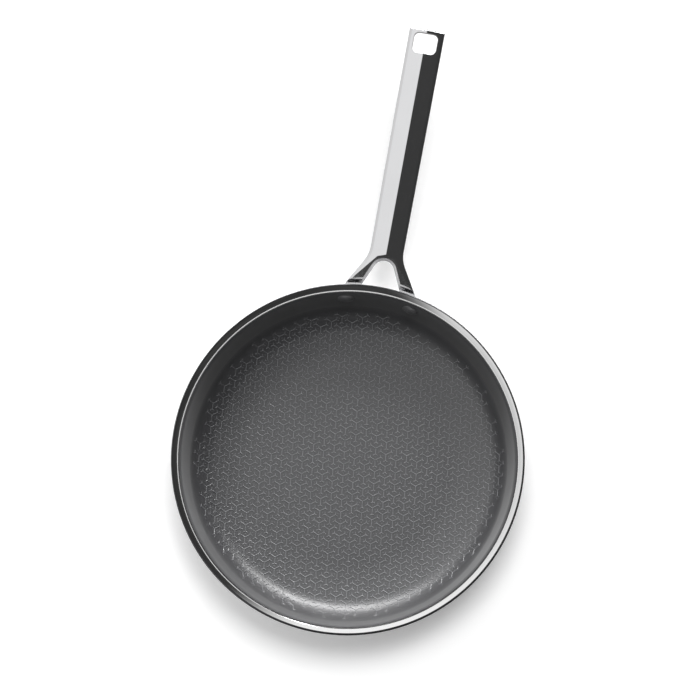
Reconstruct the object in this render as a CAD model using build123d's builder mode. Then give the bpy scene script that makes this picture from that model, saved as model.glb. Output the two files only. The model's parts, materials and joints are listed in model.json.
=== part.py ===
"""Omelette pan: a clad, coated pan body with a forked steel handle held by two rivets.

Millimetres, +Z up. The origin is the centre of the base's underside, where the pan rests.
The handle points along +Y, and the pan is symmetric about the plane x = 0.
"""
from build123d import *
from math import asin, cos, radians, sin, tan
import os

# Pan body
rim_diameter = 260.0
pan_height = 46.0
corner_radius = 17.0
flare_radius = 8.0
lip_width = 1.5
wall_lean = 10.0
lip_slope = 25.0

# Layers of the clad sheet, from the outside in, and the coated area's edge
outer_steel_thickness = 0.5
core_thickness = 1.8
lining_thickness = 0.4
coating_thickness = 0.25
coating_end_slope = 55.0

# Rivets
rivet_spacing = 49.0
rivet_drop = 14.0
rivet_shank_radius = 2.6
rivet_hole_clearance = 0.1
rivet_head_radius = 6.0
rivet_head_height = 2.2
rivet_head_edge = 0.7
rivet_upset_radius = 4.6
rivet_upset_height = 1.8
rivet_upset_edge = 0.6

# Handle: plan
handle_length = 188.0
tip_width = 26.4
neck_width = 24.8
neck_reach = 21.3
neck_fillet = 22.0
leg_splay = 31.6

# Handle: side view
handle_rise = 12.2
crease_above_rim = 3.4
grip_tip_thickness = 6.6
grip_neck_thickness = 9.4
underside_bend = 34.0
leg_root_rise = 0.6

# Handle: facets and bevels
roof_slope = 9.0
side_bevel_width = 2.0
side_bevel_drop = 0.95
tip_bevel = 0.9
underside_bevel = 1.3
groove_width = 11.0
groove_depth = 2.6
groove_tip_margin = 12.0
groove_neck_margin = 20.5

# Handle: fork opening, and the shallow scoop that the legs' tops are ground to
opening_depth = 18.0
opening_arch_radius = 8.0
opening_splay = 24.5
opening_bevel_width = 1.9
opening_bevel_drop = 3.3
scoop_margin = 4.5
scoop_start_slope = 25.0
scoop_start_depth = 1.0
scoop_slope = 7.4
scoop_bend = 7.0

# Handle: hanging hole
hole_width = 17.8
hole_length = 15.2
hole_corner_radius = 4.0
hole_tip_margin = 3.0

# Handle: riveted pads
pad_width = 17.0
pad_length = 16.0
pad_thickness = 4.0
pad_corner_radius = 6.0

# Handle: leg ends, which fall in two slopes to a step under the rim
rim_gap = 1.6
leg_knee_reach = 3.5
leg_knee_drop = 0.4
leg_end_slope = 47.0
leg_face_slope = 62.0

# How far a cutting shape runs past what it cuts, and the width of the bar that the handle
# is cut from, against the tip's
overrun = 10.0
bar_width_share = 4.0

# Pan profile
rim_radius = rim_diameter / 2
sheet_thickness = outer_steel_thickness + core_thickness + lining_thickness
wall_angle = radians(90 - wall_lean)
lip_angle = radians(lip_slope)
coating_angle = radians(coating_end_slope)

corner_rise = corner_radius * (1 - cos(wall_angle))
flare_rise = flare_radius * (cos(lip_angle) - cos(wall_angle))
lip_rise = lip_width * sin(lip_angle)
wall_rise = pan_height - sheet_thickness - corner_rise - flare_rise - lip_rise
wall_length = wall_rise / sin(wall_angle)
flare_run = flare_radius * (sin(wall_angle) - sin(lip_angle))
lip_run = lip_width * cos(lip_angle)
edge_run = sheet_thickness * sin(lip_angle)
wall_top_radius = rim_radius - edge_run - lip_run - flare_run
wall_top_height = pan_height - lip_rise - flare_rise
floor_radius = wall_top_radius - wall_length * cos(wall_angle) - corner_radius * sin(wall_angle)

corner_centre = (floor_radius, sheet_thickness + corner_radius)
flare_centre = (
    wall_top_radius + flare_radius * sin(wall_angle),
    wall_top_height - flare_radius * cos(wall_angle),
)


def on_corner(depth, angle):
    """Point of the floor's corner, depth below the lining, where the sheet rises at angle."""
    radius = corner_radius + depth
    return corner_centre[0] + radius * sin(angle), corner_centre[1] - radius * cos(angle)


def on_flare(depth, angle):
    """Point of the flare, depth below the lining, where the sheet rises at angle."""
    radius = flare_radius - depth
    return flare_centre[0] - radius * sin(angle), flare_centre[1] + radius * cos(angle)


def surface_points(depth, end_angle, end_run):
    """Corners of one surface of the sheet, from the axis out to its end."""
    flare_end = on_flare(depth, end_angle)
    return [
        (0, sheet_thickness - depth),
        (floor_radius, sheet_thickness - depth),
        on_corner(depth, wall_angle / 2),
        on_corner(depth, wall_angle),
        on_flare(depth, wall_angle),
        on_flare(depth, (wall_angle + end_angle) / 2),
        flare_end,
        (flare_end[0] + end_run * cos(end_angle), flare_end[1] + end_run * sin(end_angle)),
    ]


def draw_surface(points):
    """Draw floor, corner arc, wall, flare arc and, where there is one, the flat lip."""
    Line(points[0], points[1])
    ThreePointArc(points[1], points[2], points[3])
    Line(points[3], points[4])
    ThreePointArc(points[4], points[5], points[6])
    if points[7] != points[6]:
        Line(points[6], points[7])


def draw_layer(upper_depth, lower_depth, end_angle=lip_angle, end_run=lip_width):
    """Closed outline of one layer of the sheet, ready to be revolved about the axis."""
    upper = surface_points(upper_depth, end_angle, end_run)
    lower = surface_points(lower_depth, end_angle, end_run)
    draw_surface(upper)
    draw_surface(lower)
    Line(upper[0], lower[0])
    Line(upper[-1], lower[-1])


# Rivet axes, square to the wall
lean = radians(wall_lean)
rivet_height = pan_height - rivet_drop
rivet_wall_radius = wall_top_radius - (wall_top_height - rivet_height) * tan(lean)
rivet_turn = asin(rivet_spacing / 2 / rivet_wall_radius)
rivet_hole_radius = rivet_shank_radius + rivet_hole_clearance
through_wall = sheet_thickness + pad_thickness + overrun


def rivet_seat(side):
    """Plane on the lining at a rivet, its z axis pointing into the pan and its y axis up."""
    out_x = side * sin(rivet_turn)
    out_y = cos(rivet_turn)
    place = Vector(out_x * rivet_wall_radius, out_y * rivet_wall_radius, rivet_height)
    inward = Vector(-out_x * cos(lean), -out_y * cos(lean), sin(lean))
    return Plane(origin=place, x_dir=(out_y, -out_x, 0), z_dir=inward)


seats = {"left": rivet_seat(-1), "right": rivet_seat(1)}


def drill_rivet_holes():
    """Cut both rivet holes through the part that is being made."""
    for seat in seats.values():
        with Locations(seat.offset(-through_wall)):
            Cylinder(
                rivet_hole_radius,
                2 * through_wall,
                align=(Align.CENTER, Align.CENTER, Align.MIN),
                mode=Mode.SUBTRACT,
            )


# Outer shell: magnetic steel skin
core_top = lining_thickness
core_bottom = lining_thickness + core_thickness

with BuildPart() as outer_shell:
    with BuildSketch(Plane.XZ):
        with BuildLine():
            draw_layer(core_bottom, sheet_thickness)
        make_face()
    revolve(axis=Axis.Z)
    drill_rivet_holes()

# Aluminium core
with BuildPart() as aluminium_core:
    with BuildSketch(Plane.XZ):
        with BuildLine():
            draw_layer(core_top, core_bottom)
        make_face()
    revolve(axis=Axis.Z)
    drill_rivet_holes()

# Inner lining: steel that shows bare on the rim
with BuildPart() as inner_lining:
    with BuildSketch(Plane.XZ):
        with BuildLine():
            draw_layer(0, core_top)
        make_face()
    revolve(axis=Axis.Z)
    drill_rivet_holes()

# Nonstick coating: a film on the lining that ends below the lip
with BuildPart() as nonstick_coating:
    with BuildSketch(Plane.XZ):
        with BuildLine():
            draw_layer(-coating_thickness, 0, coating_angle, 0)
        make_face()
    revolve(axis=Axis.Z)
    drill_rivet_holes()

# Space inside one surface of the pan, from its floor to above its rim
ceiling = pan_height + overrun


def draw_space(depth):
    """Closed half section of the space above one surface of the sheet."""
    brim = surface_points(depth, lip_angle, lip_width)
    draw_surface(brim)
    Polyline(brim[-1], (brim[-1][0], ceiling), (0, ceiling), brim[0])


# Space above the coating, which the rivet heads stand in
with BuildPart() as cavity:
    with BuildSketch(Plane.XZ):
        with BuildLine():
            draw_space(-coating_thickness)
        make_face()
    revolve(axis=Axis.Z)

# Space inside the outer shell's outside, which the handle's pads stay out of
with BuildPart() as pan_space:
    with BuildSketch(Plane.XZ):
        with BuildLine():
            draw_space(sheet_thickness)
        make_face()
    revolve(axis=Axis.Z)

# Room round the rim, which the handle's legs stay out of
step_height = surface_points(sheet_thickness, lip_angle, lip_width)[-1][1] - rim_gap
knee_radius = rim_radius + leg_knee_reach
knee_height = pan_height - leg_knee_drop
step_radius = knee_radius - (knee_height - step_height) / tan(radians(leg_face_slope))
brim_radius = knee_radius + (ceiling - knee_height) / tan(radians(leg_end_slope))
with BuildPart() as rim_space:
    with BuildSketch(Plane.XZ):
        Polygon(
            (0, step_height),
            (step_radius, step_height),
            (knee_radius, knee_height),
            (brim_radius, ceiling),
            (0, ceiling),
            align=None,
        )
    revolve(axis=Axis.Z)

# Ring on the wall's outside, which the handle's pads are cut from
wall_foot = Vector(*on_corner(sheet_thickness, wall_angle))
wall_head = wall_foot + Vector(tan(lean), 1) * (step_height - wall_foot.Y)
pad_step = Vector(sin(wall_angle), -cos(wall_angle)) * pad_thickness
with BuildPart() as pad_ring:
    with BuildSketch(Plane.XZ):
        Polygon(wall_foot, wall_foot + pad_step, wall_head + pad_step, wall_head, align=None)
    revolve(axis=Axis.Z)

# Two curved pads, one round each rivet
with BuildPart() as pads:
    add(pad_ring.part)
    with BuildSketch(*seats.values()):
        RectangleRounded(pad_width, pad_length, pad_corner_radius)
    extrude(amount=-through_wall, mode=Mode.INTERSECT)
    add(pan_space.part, mode=Mode.SUBTRACT)

# Handle lines in side view: y along the handle, z up
rise_angle = radians(handle_rise)
tip_y = rim_radius + handle_length
neck_y = rim_radius + neck_reach
pad_outer_radius = rivet_wall_radius + (sheet_thickness + pad_thickness) / cos(lean)
leg_start_y = (pad_outer_radius - pad_thickness) * cos(rivet_turn) - overrun
leg_root_height = rivet_height + rivet_upset_radius + leg_root_rise


def crease_height(y):
    """Height of the grip's centre crease at y."""
    return pan_height + crease_above_rim + (y - rim_radius) * tan(rise_angle)


tip_top = Vector(0, tip_y, crease_height(tip_y))
tip_underside = tip_top - Vector(0, 0, grip_tip_thickness)
neck_underside = Vector(0, neck_y, crease_height(neck_y) - grip_neck_thickness)
grip_up = Vector(0, -sin(rise_angle), cos(rise_angle))
grip_top = Plane(origin=tip_top, x_dir=(1, 0, 0), z_dir=grip_up)
grip_end = Plane(origin=tip_top, x_dir=(1, 0, 0), z_dir=(0, -cos(rise_angle), -sin(rise_angle)))
underside_along = (tip_underside - neck_underside).normalized()
grip_underside = Plane(
    origin=tip_underside, x_dir=(-1, 0, 0), z_dir=(0, underside_along.Z, -underside_along.Y)
)
rightward = Vector(1, 0, 0)
upward = Vector(0, 0, 1)

# Scoop in side view: its start on the crease, x down along the crease and y up from it
scoop_y = rim_radius + opening_depth + scoop_margin
scoop_start = Vector(0, scoop_y, crease_height(scoop_y))
scoop_side = Plane(origin=scoop_start, x_dir=grip_end.z_dir, z_dir=-rightward)
scoop_start_run = scoop_start_depth / tan(radians(scoop_start_slope))
scoop_run = (scoop_y - leg_start_y) / cos(rise_angle)
scoop_end_depth = scoop_start_depth + (scoop_run - scoop_start_run) * tan(radians(scoop_slope))
scoop_tilt = rise_angle + radians(scoop_slope)
scoop_up = Vector(0, -sin(scoop_tilt), cos(scoop_tilt))

# Bar that the handle is cut from, and how far the roof falls across it
bar_width = bar_width_share * tip_width
roof_length = (tip_y - leg_start_y) / cos(rise_angle)
roof_drop = bar_width / 2 * tan(radians(roof_slope))


def nearest(sketch, *points):
    """The sketch's corners that lie nearest to the points."""
    return [sketch.vertices().sort_by_distance(point)[0] for point in points]


def faces_facing(part, *directions, angle=45):
    """The part's faces that face one of the directions to within an angle."""
    least = cos(radians(angle))
    return part.faces().filter_by(
        lambda face: max(face.normal_at().dot(way) for way in directions) > least
    )


def draw_opening():
    """Outline of the fork opening on the grip's top plane: an arch with splayed sides."""
    splay = radians(opening_splay)
    arch_y = (rim_radius + opening_depth - tip_y) / cos(rise_angle) - opening_arch_radius
    side_x = opening_arch_radius * cos(splay)
    side_y = arch_y + opening_arch_radius * sin(splay)
    end_y = (leg_start_y - tip_y) / cos(rise_angle)
    end_x = side_x + (side_y - end_y) * tan(splay)
    Polyline((-side_x, side_y), (-end_x, end_y), (end_x, end_y), (side_x, side_y))
    ThreePointArc((side_x, side_y), (0, arch_y + opening_arch_radius), (-side_x, side_y))


with BuildPart() as handle:
    # Bar with the side view's outline
    with BuildSketch(Plane.YZ) as side_view:
        Polygon(
            (leg_start_y, crease_height(leg_start_y)),
            (leg_start_y, leg_root_height),
            (pad_outer_radius, leg_root_height),
            (neck_underside.Y, neck_underside.Z),
            (tip_underside.Y, tip_underside.Z),
            (tip_top.Y, tip_top.Z),
            align=None,
        )
        fillet(nearest(side_view, (neck_underside.Y, neck_underside.Z)), underside_bend)
    extrude(amount=bar_width / 2, both=True)

    # Cut to the plan view's outline: grip, neck and splayed legs
    neck_x = neck_width / 2
    tip_x = tip_width / 2
    leg_end_x = neck_x + (neck_y - leg_start_y) * tan(radians(leg_splay))
    with BuildSketch() as plan_view:
        Polygon(
            (-leg_end_x, leg_start_y),
            (leg_end_x, leg_start_y),
            (neck_x, neck_y),
            (tip_x, tip_y),
            (-tip_x, tip_y),
            (-neck_x, neck_y),
            align=None,
        )
        fillet(nearest(plan_view, (neck_x, neck_y), (-neck_x, neck_y)), neck_fillet)
    extrude(amount=crease_height(tip_y) + overrun, mode=Mode.INTERSECT)

    # Roof: two facets that meet in the centre crease
    with BuildSketch(grip_end.offset(-overrun)):
        Polygon(
            (0, 0),
            (bar_width / 2, -roof_drop),
            (bar_width / 2, overrun),
            (-bar_width / 2, overrun),
            (-bar_width / 2, -roof_drop),
            align=None,
        )
    extrude(amount=roof_length + 2 * overrun, mode=Mode.SUBTRACT)

    # Bevels along the sides of the roof, under the sides and over the tip
    for end in (0, -1):
        facet = faces_facing(handle, upward, angle=handle_rise + roof_slope).sort_by(Axis.X)[end]
        side_edges = faces_facing(handle, rightward, -rightward).edges()
        chamfer(facet.edges() & side_edges, side_bevel_width, side_bevel_drop, reference=facet)
    side_edges = faces_facing(handle, rightward, -rightward).edges()
    under_edges = faces_facing(handle, -upward).edges()
    chamfer(under_edges & side_edges, underside_bevel)
    facet_edges = faces_facing(handle, upward, angle=handle_rise + roof_slope).edges()
    chamfer(facet_edges.group_by(Axis.Y)[-1], tip_bevel)

    # Scoop across the legs' tops: a short steep start, then one long shallow slope
    with BuildSketch(scoop_side) as scoop_view:
        Polygon(
            (0, 0),
            (scoop_start_run, -scoop_start_depth),
            (scoop_run, -scoop_end_depth),
            (scoop_run, overrun),
            (0, overrun),
            align=None,
        )
        bend = scoop_side.from_local_coords((scoop_start_run, -scoop_start_depth))
        fillet(nearest(scoop_view, bend), scoop_bend)
    extrude(amount=bar_width / 2, both=True, mode=Mode.SUBTRACT)

    # Fork opening, leg ends outside the rim, and a narrow steep bevel round the opening
    with BuildSketch(grip_top):
        with BuildLine():
            draw_opening()
        make_face()
    extrude(amount=bar_width, both=True, mode=Mode.SUBTRACT)
    add(rim_space.part, mode=Mode.SUBTRACT)
    add(pan_space.part, mode=Mode.SUBTRACT)
    scoop = faces_facing(handle, scoop_up, angle=1)[0]
    walls = faces_facing(handle, rightward, -rightward, grip_end.z_dir)
    chamfer(
        scoop.edges() & walls.edges(), opening_bevel_width, opening_bevel_drop, reference=scoop
    )

    # Hanging hole, square to the grip
    with BuildSketch(grip_top):
        with Locations((0, -hole_tip_margin - hole_length / 2)):
            RectangleRounded(hole_width, hole_length, hole_corner_radius)
    extrude(amount=bar_width, both=True, mode=Mode.SUBTRACT)

    # Groove that lightens the underside
    groove_end = hole_tip_margin + hole_length + groove_tip_margin
    groove_start = (tip_y - neck_y) / cos(rise_angle) - groove_neck_margin
    with BuildSketch(grip_underside):
        with Locations((0, -(groove_start + groove_end) / 2)):
            SlotOverall(groove_start - groove_end, groove_width, rotation=90)
    extrude(amount=-groove_depth, mode=Mode.SUBTRACT)

    # Two curved pads on the wall, under the legs
    add(pads.part)
    drill_rivet_holes()


def rivet_section(seat, turn):
    """Plane through a rivet's axis; its y axis points into the pan, or out of it if turn is -1."""
    along = seat.z_dir * turn
    return Plane(origin=seat.origin, x_dir=seat.x_dir, z_dir=seat.x_dir.cross(along))


def draw_dome(base, edge, radius, height):
    """Half section of a round head from base up: an upright edge, then a domed top."""
    rise = height - edge
    ball = (radius * radius + rise * rise) / (2 * rise)
    half = asin(radius / ball) / 2
    Polyline((0, height), (0, base), (radius, base), (radius, edge))
    ThreePointArc((radius, edge), (ball * sin(half), height - ball * (1 - cos(half))), (0, height))


def rivet_head(seat, growth):
    """Domed head inside the pan, shaped to the coating under it."""
    section = rivet_section(seat, 1)
    with BuildPart() as head:
        with BuildSketch(section) as profile:
            with BuildLine():
                draw_dome(
                    0, rivet_head_edge, rivet_head_radius + growth, rivet_head_height + growth
                )
            make_face()
        revolve(profile.sketch, axis=Axis(seat.origin, seat.z_dir))
        add(cavity.part, mode=Mode.INTERSECT)
    return head.part


def rivet_upset(seat):
    """Head formed outside the wall, shaped to the pad under it."""
    section = rivet_section(seat, -1)
    pad_face = sheet_thickness + pad_thickness
    with BuildPart() as upset:
        with BuildSketch(section) as profile:
            with BuildLine():
                draw_dome(
                    sheet_thickness,
                    pad_face + rivet_upset_edge,
                    rivet_upset_radius,
                    pad_face + rivet_upset_height,
                )
            make_face()
        revolve(profile.sketch, axis=Axis(seat.origin, seat.z_dir))
        add(pad_ring.part, mode=Mode.SUBTRACT)
        add(pan_space.part, mode=Mode.SUBTRACT)
    return upset.part


def rivet(seat):
    """Whole rivet: head, shank through wall and pad, and upset head."""
    with BuildPart() as body:
        with Locations(seat.offset(-sheet_thickness - pad_thickness - rivet_upset_edge)):
            Cylinder(
                rivet_shank_radius,
                sheet_thickness + pad_thickness + rivet_upset_edge + rivet_head_edge,
                align=(Align.CENTER, Align.CENTER, Align.MIN),
            )
        add(rivet_head(seat, 0))
        add(rivet_upset(seat))
    return body.part


def rivet_coating(seat):
    """Film over a rivet's head."""
    with BuildPart() as film:
        add(rivet_head(seat, coating_thickness))
        add(rivet_head(seat, 0), mode=Mode.SUBTRACT)
    return film.part


pieces = {
    "outer_shell": outer_shell.part,
    "aluminium_core": aluminium_core.part,
    "inner_lining": inner_lining.part,
    "nonstick_coating": nonstick_coating.part,
    "handle": handle.part,
}
for side, seat in seats.items():
    pieces[side + "_rivet"] = rivet(seat)
    pieces[side + "_rivet_coating"] = rivet_coating(seat)

os.makedirs("parts", exist_ok=True)
for name, piece in pieces.items():
    piece.label = name
    export_step(piece, "parts/" + name + ".step")
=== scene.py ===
"""Omelette pan dressed for rendering: polished clad pan, coated embossed floor, cast handle."""
import json
import math

import bpy
from mathutils import Matrix, Vector

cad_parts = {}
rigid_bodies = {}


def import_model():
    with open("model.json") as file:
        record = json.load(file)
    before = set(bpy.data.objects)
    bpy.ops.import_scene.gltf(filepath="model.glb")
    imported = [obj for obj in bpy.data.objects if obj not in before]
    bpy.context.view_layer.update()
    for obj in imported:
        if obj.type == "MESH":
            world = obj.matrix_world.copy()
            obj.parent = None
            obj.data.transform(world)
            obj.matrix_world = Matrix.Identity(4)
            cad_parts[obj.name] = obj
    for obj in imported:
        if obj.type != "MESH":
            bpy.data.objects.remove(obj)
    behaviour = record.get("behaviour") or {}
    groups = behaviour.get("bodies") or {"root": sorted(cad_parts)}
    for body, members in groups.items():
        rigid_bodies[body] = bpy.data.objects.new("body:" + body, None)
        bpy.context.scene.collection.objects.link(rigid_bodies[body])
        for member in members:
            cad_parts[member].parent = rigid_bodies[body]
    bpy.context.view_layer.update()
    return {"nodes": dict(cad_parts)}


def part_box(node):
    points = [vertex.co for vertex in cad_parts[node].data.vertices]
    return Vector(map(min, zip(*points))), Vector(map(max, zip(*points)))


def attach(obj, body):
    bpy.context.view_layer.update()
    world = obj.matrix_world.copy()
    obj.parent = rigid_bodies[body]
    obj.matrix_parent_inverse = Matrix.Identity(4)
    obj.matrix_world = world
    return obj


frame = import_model()


# Outer shell
# The skin of magnetic stainless steel outside the pan. It is spun with the other layers of the
# sheet and polished to a mirror, with faint turning lines; the base that stands is satin.

mm = 0.001


class Number:
    """A number that varies over a surface. Sums on it add Math nodes beside it."""

    def __init__(self, graph, socket):
        self.graph = graph
        self.socket = socket

    def worked(self, operation, *terms):
        """Run one Math node on this number and the terms."""
        sockets = dict(enumerate((self, *terms)))
        return self.graph.number("ShaderNodeMath", {"operation": operation}, sockets)

    def __add__(self, other):
        return self.worked("ADD", other)

    __radd__ = __add__

    def __sub__(self, other):
        return self.worked("SUBTRACT", other)

    def __mul__(self, other):
        return self.worked("MULTIPLY", other)

    __rmul__ = __mul__

    def __truediv__(self, other):
        return self.worked("DIVIDE", other)

    def __pow__(self, other):
        return self.worked("POWER", other)


class Graph:
    """The nodes of one finish, studio light or geometry tree."""

    def __init__(self, tree):
        self.tree = tree

    def node(self, kind, settings=None, sockets=None):
        """Add a node, give it its settings and then its sockets' values or links."""
        made = self.tree.nodes.new(kind)
        for name, value in (settings or {}).items():
            setattr(made, name, value)
        for key, value in (sockets or {}).items():
            self.feed(made.inputs[key], value)
        return made

    def feed(self, socket, value):
        """Link a socket to a number or another socket, or give it a plain value."""
        if isinstance(value, Number):
            value = value.socket
        if isinstance(value, bpy.types.NodeSocket):
            self.tree.links.new(value, socket)
        else:
            socket.default_value = value

    def number(self, kind, settings=None, sockets=None, output=0):
        """Add a node and take one of its outputs as a number."""
        return Number(self, self.node(kind, settings, sockets).outputs[output])

    def parts(self, vector):
        """The three numbers of a vector."""
        split = self.node("ShaderNodeSeparateXYZ", {}, {0: vector})
        return [Number(self, socket) for socket in split.outputs]

    def vector(self, x, y, z):
        """A vector from three numbers."""
        return self.node("ShaderNodeCombineXYZ", {}, {0: x, 1: y, 2: z}).outputs[0]

    def ramp(self, value, start, end, low, high):
        """A soft step: low where value is at start, high where it is at end."""
        return self.number(
            "ShaderNodeMapRange",
            {"interpolation_type": "SMOOTHSTEP"},
            {"Value": value, "From Min": start, "From Max": end, "To Min": low, "To Max": high},
        )


class Finish(Graph):
    """The look of one material: a Principled shader and what varies over the surface."""

    def __init__(self, name, colour, metallic=0.0, roughness=0.5):
        self.material = bpy.data.materials.new(name)
        self.material.use_nodes = True
        super().__init__(self.material.node_tree)
        self.shader = self.tree.nodes["Principled BSDF"]
        self.set("Base Color", (*colour, 1))
        self.set("Metallic", metallic)
        self.set("Roughness", roughness)
        self.place = self.node("ShaderNodeTexCoord").outputs["Object"]

    def set(self, key, value):
        """Give one of the shader's sockets a value or a link."""
        self.feed(self.shader.inputs[key], value)

    def noise(self, scale, detail, place=None, stretch=(1, 1, 1)):
        """Even noise from 0 to 1 at so many lumps a metre, longer where stretch is below 1."""
        where = self.node(
            "ShaderNodeMapping", {}, {"Vector": place or self.place, "Scale": stretch}
        ).outputs[0]
        return self.number(
            "ShaderNodeTexNoise", {}, {"Vector": where, "Scale": scale, "Detail": detail}
        )

    def turned_place(self):
        """Place measured as distance from the pan's axis and height, for turning lines."""
        x, y, z = self.parts(self.place)
        return self.vector((x * x + y * y) ** 0.5, 0.0, z)

    def mix(self, share, first, second):
        """A colour that goes from the first to the second as share goes from 0 to 1."""
        ends = [(*end, 1) if isinstance(end, tuple) else end for end in (first, second)]
        sockets = {"Factor": share, 6: ends[0], 7: ends[1]}
        return self.node("ShaderNodeMix", {"data_type": "RGBA"}, sockets).outputs[2]

    def rim_edge(self):
        """1 on the rim's trimmed edge, which is square to the lip, and 0 elsewhere."""
        out, _, up = self.parts(self.turned_place())
        reach = out * math.cos(lip_slope) + up * math.sin(lip_slope)
        return reach.worked("GREATER_THAN", edge_reach - edge_width)

    def rounded(self, edge=None):
        """The surface's normal, rounded over its corners and turned upward where edge is 1."""
        corners = self.node(
            "ShaderNodeBevel", {"samples": corner_samples}, {"Radius": corner_rounding}
        )
        if edge is None:
            return corners.outputs[0]
        raised = self.node(
            "ShaderNodeVectorMath",
            {"operation": "ADD"},
            {0: corners.outputs[0], 1: self.vector(0.0, 0.0, edge * edge_upturn)},
        )
        return self.node(
            "ShaderNodeVectorMath", {"operation": "NORMALIZE"}, {0: raised.outputs[0]}
        ).outputs[0]

    def relief(self, height, depth, normal=None):
        """The surface's normal with relief on it, depth in metres where height is 1."""
        sockets = {"Strength": 1.0, "Distance": depth, "Height": height}
        if normal is not None:
            sockets["Normal"] = normal
        return self.node("ShaderNodeBump", {}, sockets).outputs[0]

    def bump(self, height, depth, normal=None):
        """Give the shader's surface small relief, depth in metres where height is 1."""
        self.set("Normal", self.relief(height, depth, normal))

    def dished(self):
        """The normal of a floor that starts to rise a little before its corner."""
        out, _, _ = self.parts(self.turned_place())
        past = (out - dish_radius).worked("MAXIMUM", 0.0) / dish_width
        return self.relief(past * past, dish_rise)

    def polish(self, colour, dull, lines, painted_dark, painted_dark_grey, normal):
        """Mirror polish: fine lines, hairline scratches and faint handling marks.

        Where the painted-dark mask is 1 the steel is duller and painted a dark grey, standing in
        for shade in recesses and dark reflections on cut edges.
        """
        marks = self.noise(mark_scale, mark_detail)
        scratches = self.noise(scratch_scale, 2, stretch=scratch_stretch) ** scratch_rarity
        shine = self.mix(marks, colour, tuple(mark_shade * share for share in colour))
        dull = dull + mark_dull * marks + scratch_dull * scratches + line_dull * lines
        self.set("Roughness", dull + painted_dark_dull * painted_dark)
        self.set("Base Color", self.mix(painted_dark, shine, painted_dark_grey))
        self.bump(lines, polish_depth, normal)


def dress(name, finish):
    """Give a CAD node its finish."""
    slots = frame["nodes"][name].data.materials
    slots.clear()
    slots.append(finish.material)


corner_rounding, corner_samples = 0.35 * mm, 8
mark_scale, mark_detail, mark_shade, mark_dull = 38, 4, 0.94, 0.05
scratch_scale, scratch_stretch, scratch_rarity, scratch_dull = 900, (1, 0.05, 1), 5, 0.3
line_dull, painted_dark_dull = 0.04, 0.1
polish_depth = 0.002 * mm

lip_slope = math.radians(25)
shell_thickness = 0.5 * mm
edge_width, edge_upturn = 0.45 * mm, 0.8
# The rim's cut edge gets this dark grey: a painted dark reflection, where the polished edge
# would mirror the studio's dark side.
edge_painted_reflection_grey = (0.07, 0.07, 0.073)
shell_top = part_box("outer_shell")[1]
edge_reach = shell_top.x * math.cos(lip_slope) + math.sin(lip_slope) * (
    shell_top.z - shell_thickness * math.cos(lip_slope)
)

shell_steel = (0.76, 0.76, 0.77)
shell_roughness, base_roughness, base_line_roughness = 0.06, 0.2, 0.12
shell_line_scale = 2600
satin_start, satin_full = 1.6 * mm, 0.64 * mm
shell_finish = Finish("polished_magnetic_steel", shell_steel, metallic=1.0)
shell_lines = shell_finish.noise(shell_line_scale, 1, place=shell_finish.turned_place())
standing = shell_finish.ramp(
    shell_finish.parts(shell_finish.place)[2], satin_start, satin_full, 0.0, 1.0
)
shell_dull = shell_roughness + standing * (base_roughness + base_line_roughness * shell_lines)
# The rim's cut edge is duller and painted dark grey: a painted dark reflection.
shell_edge = shell_finish.rim_edge()
shell_corners = shell_finish.rounded(shell_edge)
shell_finish.polish(
    shell_steel, shell_dull, shell_lines, shell_edge, edge_painted_reflection_grey, shell_corners
)
dress("outer_shell", shell_finish)


# Aluminium core
# The thick middle layer, which spreads the heat. It shows only as a duller line in the rim's cut
# edge, where the sheet was trimmed and ground; its colour there is painted dark grey, a painted
# dark reflection.

aluminium = (0.80, 0.80, 0.81)
core_roughness, ground_roughness = 0.32, 0.12
ground_scale, ground_depth = 3000, 0.01 * mm
core_finish = Finish("bare_aluminium", aluminium, metallic=1.0)
ground = core_finish.noise(ground_scale, 2)
core_edge = core_finish.rim_edge()
core_finish.set("Roughness", core_roughness + ground_roughness * ground)
core_finish.set("Base Color", core_finish.mix(core_edge, aluminium, edge_painted_reflection_grey))
core_finish.bump(ground, ground_depth, core_finish.rounded(core_edge))
dress("aluminium_core", core_finish)


# Inner lining
# The stainless steel layer inside. Its flared rim stays bare and is polished, so the pan has
# a bright band round the coating.

lining_steel, lining_roughness = (0.80, 0.80, 0.80), 0.05
lining_line_scale = 3200
lining_finish = Finish("polished_lining_steel", lining_steel, metallic=1.0)
lining_lines = lining_finish.noise(lining_line_scale, 1, place=lining_finish.turned_place())
# The rim's cut edge is duller and painted dark grey: a painted dark reflection.
lining_edge = lining_finish.rim_edge()
lining_corners = lining_finish.rounded(lining_edge)
lining_finish.polish(
    lining_steel, lining_roughness, lining_lines, lining_edge, edge_painted_reflection_grey, lining_corners
)
dress("inner_lining", lining_finish)


# Nonstick coating
# A dark grey ceramic film, sprayed and baked on the lining after the floor was embossed.
# It is satin, with fine grain, and stops below the rim.

dish_radius, dish_width, dish_rise = 75 * mm, 27 * mm, 2.4 * mm
coating_dark, coating_light = (0.028, 0.028, 0.030), (0.056, 0.056, 0.059)
coating_roughness, cloud_roughness, grain_roughness = 0.32, 0.10, 0.06
coating_specular = 1.0
sheen_weight, sheen_roughness = 0.2, 0.35
grain_scale, grain_detail, grain_depth = 2200, 3, 0.02 * mm
cloud_scale, cloud_detail = 22, 3
coating_finish = Finish("satin_ceramic_coating", coating_light)
grain = coating_finish.noise(grain_scale, grain_detail)
cloud = coating_finish.noise(cloud_scale, cloud_detail)
coating_finish.set("Base Color", coating_finish.mix(grain, coating_dark, coating_light))
coating_finish.set(
    "Roughness", coating_roughness + cloud_roughness * cloud + grain_roughness * grain
)
coating_finish.set("Specular IOR Level", coating_specular)
coating_finish.set("Sheen Weight", sheen_weight)
coating_finish.set("Sheen Roughness", sheen_roughness)
coating_finish.bump(grain, grain_depth, coating_finish.dished())
dress("nonstick_coating", coating_finish)


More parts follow.
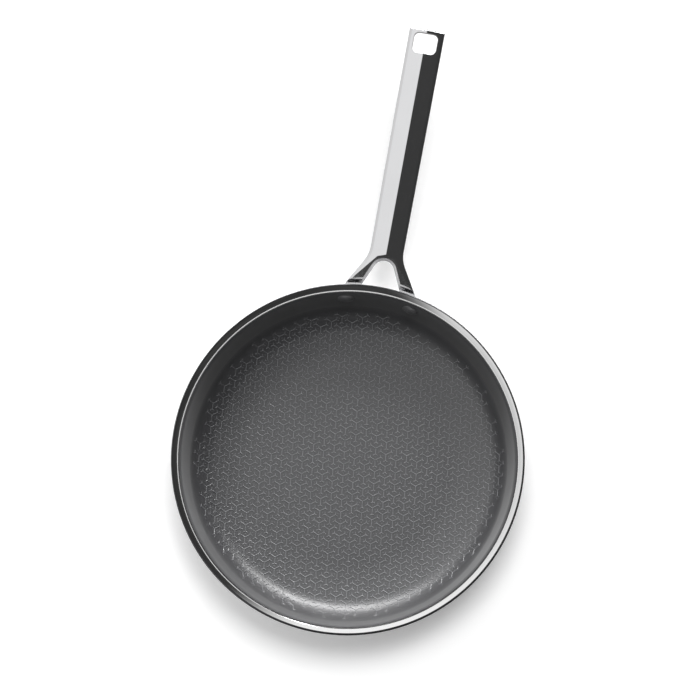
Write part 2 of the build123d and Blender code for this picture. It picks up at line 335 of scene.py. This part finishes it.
# Embossed lines of the floor
# Low ridges pressed into the floor before it was coated: forked stars in staggered rows, with
# a dot between each fork and the next star. They run out on the rounded corner of the wall.

# The ridges are painted a lighter grey than the coating round them: a painted highlight along
# the lines.
ridge_highlight_dark, ridge_highlight_light = (0.10, 0.102, 0.106), (0.19, 0.192, 0.198)
ridge_roughness, ridge_grain_roughness = 0.22, 0.08
ridge_finish = Finish("embossed_coating", ridge_highlight_light)
grain = ridge_finish.noise(grain_scale, grain_detail)
ridge_finish.set("Base Color", ridge_finish.mix(grain, ridge_highlight_dark, ridge_highlight_light))
ridge_finish.set("Roughness", ridge_roughness + ridge_grain_roughness * grain)
ridge_finish.set("Specular IOR Level", coating_specular)
ridge_finish.bump(grain, 0.5 * grain_depth, ridge_finish.dished())

coating_depth = 0.25 * mm
star_sizes = {
    "Pitch": 9.06 * mm,
    "Turn": math.radians(7.5),
    "First Star X": -3.86 * mm,
    "First Star Y": -0.65 * mm,
    "Ridge Width": 0.62 * mm,
    "Ridge Height": 0.28 * mm,
    "Fork Length": 1.85 * mm,
    "Embossed Radius": 115 * mm,
    "Corner Start": 102.25 * mm,
    "Corner Radius": 17 * mm - coating_depth,
    "Floor Height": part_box("nonstick_coating")[0].z + coating_depth,
}
star_rows = 35
row_share = math.cos(math.radians(30))
arm_angles = [math.radians(angle) for angle in (30, 150, 270)]
fork_angle = math.radians(60)
dot_place, dot_share = 1.48, 0.6
ridge_sides = 6
dot_segments, dot_rings = 6, 3


class Emboss(Graph):
    """A geometry tree whose named inputs are sizes, each set on a modifier by its identifier."""

    def __init__(self, name, sizes):
        super().__init__(bpy.data.node_groups.new(name, "GeometryNodeTree"))
        self.sizes = sizes
        made = self.tree.interface.new_socket
        self.identifiers = {
            key: made(key, in_out="INPUT", socket_type="NodeSocketFloat").identifier
            for key in sizes
        }
        made("Geometry", in_out="OUTPUT", socket_type="NodeSocketGeometry")
        self.entry = self.node("NodeGroupInput")

    def size(self, key):
        """One of the named sizes as a number."""
        return Number(self, self.entry.outputs[key])

    def shape(self, kind, settings=None, sockets=None):
        """Add a node and take the geometry that it gives."""
        return self.node(kind, settings, sockets).outputs[0]

    def join(self, *shapes):
        """One geometry from several."""
        made = self.node("GeometryNodeJoinGeometry")
        for shape in shapes:
            self.tree.links.new(shape, made.inputs[0])
        return made.outputs[0]

    def position(self):
        """The place of each point."""
        return self.node("GeometryNodeInputPosition").outputs[0]

    def ridge(self, start, end):
        """A low ridge between two points, rounded on top and closed at its ends."""
        line = self.shape("GeometryNodeCurvePrimitiveLine", {}, {"Start": start, "End": end})
        ring = self.shape(
            "GeometryNodeCurvePrimitiveCircle",
            {"mode": "RADIUS"},
            {"Resolution": ridge_sides, "Radius": 1.0},
        )
        section = self.vector(self.size("Ridge Width") * 0.5, self.size("Ridge Height"), 1.0)
        return self.shape(
            "GeometryNodeCurveToMesh",
            {},
            {
                "Curve": line,
                "Profile Curve": self.shape(
                    "GeometryNodeTransform", {}, {"Geometry": ring, "Scale": section}
                ),
                "Fill Caps": True,
            },
        )

    def mesh(self, name):
        """Run the tree on an empty object and keep the result as a plain mesh object."""
        source = bpy.data.objects.new(name + "_source", bpy.data.meshes.new(name + "_source"))
        bpy.context.scene.collection.objects.link(source)
        modifier = source.modifiers.new("emboss", "NODES")
        modifier.node_group = self.tree
        for key, value in self.sizes.items():
            modifier[self.identifiers[key]] = value
        ready = source.evaluated_get(bpy.context.evaluated_depsgraph_get())
        made = bpy.data.meshes.new_from_object(ready)
        bpy.data.objects.remove(source)
        made.name = name
        body = bpy.data.objects.new(name, made)
        bpy.context.scene.collection.objects.link(body)
        return body


emboss = Emboss("embossed_stars", star_sizes)
half_pitch = emboss.size("Pitch") * 0.5
fork = emboss.size("Fork Length")
dot_width = emboss.size("Ridge Width") * dot_share

# One arm along x with its fork and dot, turned three ways into a star.
knee = emboss.vector(half_pitch, 0.0, 0.0)
fork_end_x = half_pitch + fork * math.cos(fork_angle)
dot = emboss.shape(
    "GeometryNodeMeshUVSphere",
    {},
    {"Segments": dot_segments, "Rings": dot_rings, "Radius": 1.0},
)
arm = emboss.join(
    emboss.ridge((0, 0, 0), knee),
    emboss.ridge(knee, emboss.vector(fork_end_x, fork * math.sin(fork_angle), 0.0)),
    emboss.ridge(knee, emboss.vector(fork_end_x, fork * -math.sin(fork_angle), 0.0)),
    emboss.shape(
        "GeometryNodeTransform",
        {},
        {
            "Geometry": dot,
            "Translation": emboss.vector(half_pitch * dot_place, 0.0, 0.0),
            "Scale": emboss.vector(dot_width, dot_width, emboss.size("Ridge Height")),
        },
    ),
)
star = emboss.join(
    *[
        emboss.shape("GeometryNodeTransform", {}, {"Geometry": arm, "Rotation": (0, 0, angle)})
        for angle in arm_angles
    ]
)

# Rows of stars, every other row moved by half a pitch, kept inside the embossed area.
grid = emboss.shape(
    "GeometryNodeMeshGrid",
    {},
    {
        "Size X": emboss.size("Pitch") * ((star_rows - 1) * row_share),
        "Size Y": emboss.size("Pitch") * (star_rows - 1),
        "Vertices X": star_rows,
        "Vertices Y": star_rows,
    },
)
column = emboss.parts(emboss.position())[0] / (emboss.size("Pitch") * row_share)
odd = column.worked("ROUND").worked("PINGPONG", 1.0)
staggered = emboss.shape(
    "GeometryNodeSetPosition",
    {},
    {
        "Geometry": grid,
        "Offset": emboss.vector(
            emboss.size("First Star X"), odd * half_pitch + emboss.size("First Star Y"), 0.0
        ),
    },
)
spread = emboss.number(
    "ShaderNodeVectorMath", {"operation": "LENGTH"}, {0: emboss.position()}, output="Value"
)
kept = emboss.shape(
    "GeometryNodeDeleteGeometry",
    {"domain": "POINT"},
    {
        "Geometry": staggered,
        "Selection": spread.worked("GREATER_THAN", emboss.size("Embossed Radius")),
    },
)
stars = emboss.shape("GeometryNodeInstanceOnPoints", {}, {"Points": kept, "Instance": star})
flat = emboss.shape(
    "GeometryNodeTransform",
    {},
    {
        "Geometry": emboss.shape("GeometryNodeRealizeInstances", {}, {0: stars}),
        "Rotation": emboss.vector(0.0, 0.0, emboss.size("Turn")),
    },
)

# The flat pattern is laid on the floor and up its corner: a point keeps its distance from the
# centre, measured along the surface, and its height above the surface.
x, y, height = emboss.parts(emboss.position())
run = (x * x + y * y) ** 0.5
start, bend = emboss.size("Corner Start"), emboss.size("Corner Radius")
turn = (run - start).worked("MAXIMUM", 0.0) / bend
inner = bend - height
radius = run.worked("MINIMUM", start) + inner * turn.worked("SINE")
level = emboss.size("Floor Height") + bend - inner * turn.worked("COSINE")
laid = emboss.shape(
    "GeometryNodeSetPosition",
    {},
    {"Geometry": flat, "Position": emboss.vector(x * radius / run, y * radius / run, level)},
)
smooth = emboss.shape("GeometryNodeSetShadeSmooth", {}, {"Geometry": laid})
whole = emboss.shape("GeometryNodeRealizeInstances", {}, {0: smooth})
finished = emboss.shape(
    "GeometryNodeSetMaterial", {}, {"Geometry": whole, "Material": ridge_finish.material}
)
emboss.node("NodeGroupOutput", {}, {0: finished})

ridges = emboss.mesh("embossed_floor_lines")
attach(ridges, "root")


# Rivets
# Two stainless steel rivets: a low head inside the pan, coated with the floor, and a head
# formed over the handle's pad outside.

rivet_steel, rivet_roughness, dent_roughness = (0.70, 0.70, 0.71), 0.12, 0.14
dent_scale, dent_detail, dent_depth = 600, 3, 0.04 * mm
# The film on the inside heads is painted lighter than the floor's coating: painted light on the
# domes, which sit in the wall's shade.
film_painted_light_grey, film_roughness = (0.08, 0.08, 0.083), 0.28
rivet_finish = Finish("polished_rivet_steel", rivet_steel, metallic=1.0)
dents = rivet_finish.noise(dent_scale, dent_detail)
rivet_finish.set("Roughness", rivet_roughness + dent_roughness * dents)
rivet_finish.bump(dents, dent_depth)
film_finish = Finish("rivet_coating_film", film_painted_light_grey, roughness=film_roughness)
film_finish.set("Specular IOR Level", coating_specular)
film_grain = film_finish.noise(grain_scale, grain_detail)
film_finish.bump(film_grain, grain_depth, film_finish.rounded())
for hand in ("left", "right"):
    dress(hand + "_rivet", rivet_finish)
    dress(hand + "_rivet_coating", film_finish)


# Handle
# One stainless steel casting, ground to crisp facets and polished. The polishing wheel hardly
# reaches the legs' ends by the rim, which stay duller. The walls of the hanging hole are duller
# too and painted near-black: painted shade in the hole. The fork ends in two pads that are
# riveted to the wall.

cast_steel, cast_roughness, unreached_roughness = (0.78, 0.78, 0.79), 0.07, 0.15
# The hanging hole's walls get this near-black grey: painted shade in the hole.
hole_painted_shade_grey = (0.05, 0.05, 0.052)
brushing_scale, brushing_stretch = 1500, (1, 0.03, 1)
polish_start, polish_end = 131 * mm, 135 * mm
hole_start, hole_end, hole_half_width = 298 * mm, 316.5 * mm, 9.1 * mm
hole_wall_slant = 0.5
handle_finish = Finish("polished_cast_steel", cast_steel, metallic=1.0)
brushing = handle_finish.noise(brushing_scale, 2, stretch=brushing_stretch)
across, along, _ = handle_finish.parts(handle_finish.place)
unreached = handle_finish.ramp(along, polish_end, polish_start, 0.0, unreached_roughness)
facing = handle_finish.node("ShaderNodeNewGeometry").outputs["True Normal"]
slant = handle_finish.parts(facing)[2]
in_hole = across.worked("ABSOLUTE").worked("LESS_THAN", hole_half_width)
in_hole = in_hole * along.worked("GREATER_THAN", hole_start)
in_hole = in_hole * along.worked("LESS_THAN", hole_end)
in_hole = in_hole * slant.worked("ABSOLUTE").worked("LESS_THAN", hole_wall_slant)
handle_corners = handle_finish.rounded()
handle_finish.polish(
    cast_steel, cast_roughness + unreached, brushing, in_hole, hole_painted_shade_grey, handle_corners
)
dress("handle", handle_finish)


# Studio floor
# A plain pale sheet just under the pan. Mirrors see it darker, so that steel facing it keeps
# its tone, and it is see-through from below, which leaves the pan's underside in view.

floor_reach, floor_gap = 3.0, 0.2 * mm
floor_white, mirrored_grey = (0.9, 0.9, 0.9), (0.3, 0.3, 0.3)
black, white = (0, 0, 0), (1, 1, 1)
floor_roughness, floor_glow = 0.9, 0.2
floor_mesh = bpy.data.meshes.new("studio_floor")
corners = [(-1, -1), (1, -1), (1, 1), (-1, 1)]
floor_mesh.from_pydata(
    [(floor_reach * x, floor_reach * y, -floor_gap) for x, y in corners], [], [(0, 1, 2, 3)]
)
floor = bpy.data.objects.new("studio_floor", floor_mesh)
bpy.context.scene.collection.objects.link(floor)
floor_finish = Finish("pale_floor", floor_white, roughness=floor_roughness)
floor_finish.set("Specular IOR Level", 0.0)
rays = floor_finish.node("ShaderNodeLightPath").outputs
mirrored = Number(floor_finish, rays["Is Glossy Ray"])
seen = mirrored + Number(floor_finish, rays["Is Camera Ray"])
seen = seen + Number(floor_finish, rays["Is Transmission Ray"])
floor_finish.set("Base Color", floor_finish.mix(mirrored, floor_white, mirrored_grey))
floor_finish.set("Emission Color", floor_finish.mix(seen * floor_glow, black, white))
floor_finish.set("Emission Strength", 1.0)
clear = floor_finish.node("ShaderNodeBsdfTransparent")
behind = floor_finish.node("ShaderNodeNewGeometry").outputs["Backfacing"]
one_sided = floor_finish.node(
    "ShaderNodeMixShader",
    {},
    {0: behind, 1: floor_finish.shader.outputs[0], 2: clear.outputs[0]},
)
output = floor_finish.tree.nodes["Material Output"]
floor_finish.feed(output.inputs["Surface"], one_sided.outputs[0])
floor_mesh.materials.append(floor_finish.material)


# Studio light
# A studio that is bright to the west and north and dark to the east and south, with a pale
# horizon all round, so that polished steel shows bright and dark bands. Two softboxes stand to
# the north, one high and one low.

bright_side = (-0.956, 0.294, 0.0)
north_side = (-0.18, 0.98, 0.0)
west_side = (-0.98, -0.18, 0.0)
bright_start, bright_full = -0.15, 0.35
bright_strength, north_gain, west_loss = 0.95, 0.15, 0.28
dark_strength, wash_strength, wash_scale = 0.02, 0.05, 2.5
horizon_top, horizon_full = 0.22, 0.12
least_reach = 0.02
world = bpy.data.worlds.new("studio")
bpy.context.scene.world = world
world.use_nodes = True
world.node_tree.nodes.clear()
sky = Graph(world.node_tree)
direction = sky.node("ShaderNodeTexCoord").outputs["Generated"]


def share_toward(side):
    """How far the direction points to one side."""
    return sky.number(
        "ShaderNodeVectorMath",
        {"operation": "DOT_PRODUCT"},
        {0: direction, 1: side},
        output="Value",
    )


east, north, upward = sky.parts(direction)
sideways = (east * east + north * north) ** 0.5 + least_reach
bright = sky.ramp(share_toward(bright_side) / sideways, bright_start, bright_full, 0.0, 1.0)
strength = bright_strength + north_gain * share_toward(north_side)
strength = strength - west_loss * share_toward(west_side) ** 2
wash = sky.number(
    "ShaderNodeTexNoise", {}, {"Vector": direction, "Scale": wash_scale, "Detail": 1.0}
)
horizon = sky.ramp(upward, horizon_full, horizon_top, 1.0, 0.0)
studio = dark_strength + wash_strength * wash + bright * strength
studio = studio.worked("MAXIMUM", horizon)
background = sky.node("ShaderNodeBackground", {}, {"Color": (1, 1, 1, 1), "Strength": studio})
sky.node("ShaderNodeOutputWorld", {}, {"Surface": background.outputs[0]})


def softbox(name, place, aim, width, height, watts):
    """A rectangular soft light at a place, turned to its aim."""
    light = bpy.data.lights.new(name, "AREA")
    light.shape = "RECTANGLE"
    light.size = width
    light.size_y = height
    light.energy = watts
    lamp = bpy.data.objects.new(name, light)
    bpy.context.scene.collection.objects.link(lamp)
    lamp.location = place
    lamp.rotation_euler = (Vector(aim) - lamp.location).to_track_quat("-Z", "Y").to_euler()
    return lamp


# The high softbox gives the floor its shadow and isn't mirrored.
high_softbox = softbox(
    "high_softbox", place=(0.1, 0.55, 1.7), aim=(0, 0.1, 0), width=0.9, height=0.8, watts=21.0
)
high_softbox.visible_glossy = False

# The low one lights the coated wall across from it. It is kept off the floor, which it would
# give too long a shadow, and off the bare rim, which it would dazzle.
low_softbox = softbox(
    "low_softbox", place=(-0.15, 1.7, 0.64), aim=(0, 0, 0.03), width=1.7, height=0.9, watts=68.0
)
lit_pieces = bpy.data.collections.new("lit_by_low_softbox")
unlit_pieces = (floor, frame["nodes"]["inner_lining"])
for piece in bpy.context.scene.objects:
    if piece.type == "MESH" and piece not in unlit_pieces:
        lit_pieces.objects.link(piece)
low_softbox.light_linking.receiver_collection = lit_pieces


# Camera
# It looks down on the pan almost upright from the south-east, turned so that the handle
# points to the picture's upper right.

camera_distance = 1.5
camera_azimuth = math.radians(20.0)
camera_tilt = math.radians(7.5)
camera_roll = math.radians(11.04)
focal_pixels, image_pixels = 2042.8, 700.0
film_width = 36.0  # in millimetres, as Blender takes it
rim_height = 46 * mm
aim = Vector((-13.18 * mm, 78.32 * mm, rim_height))
side = math.sin(camera_tilt) * camera_distance
stand = Vector(
    (
        side * math.sin(camera_azimuth),
        -side * math.cos(camera_azimuth),
        rim_height + math.cos(camera_tilt) * camera_distance,
    )
)
forward = (aim - stand).normalized()
level_right = forward.cross(Vector((0, 1, 0))).normalized()
level_up = level_right.cross(forward)
right = level_right * math.cos(camera_roll) + level_up * math.sin(camera_roll)
up = level_up * math.cos(camera_roll) - level_right * math.sin(camera_roll)
camera_data = bpy.data.cameras.new("camera")
camera_data.sensor_width = film_width
camera_data.lens = focal_pixels / image_pixels * film_width
camera = bpy.data.objects.new("camera", camera_data)
bpy.context.scene.collection.objects.link(camera)
turned = Matrix((right, up, -forward)).transposed()
camera.matrix_world = Matrix.Translation(stand) @ turned.to_4x4()
bpy.context.scene.camera = camera
bpy.context.scene.view_settings.view_transform = "Standard"
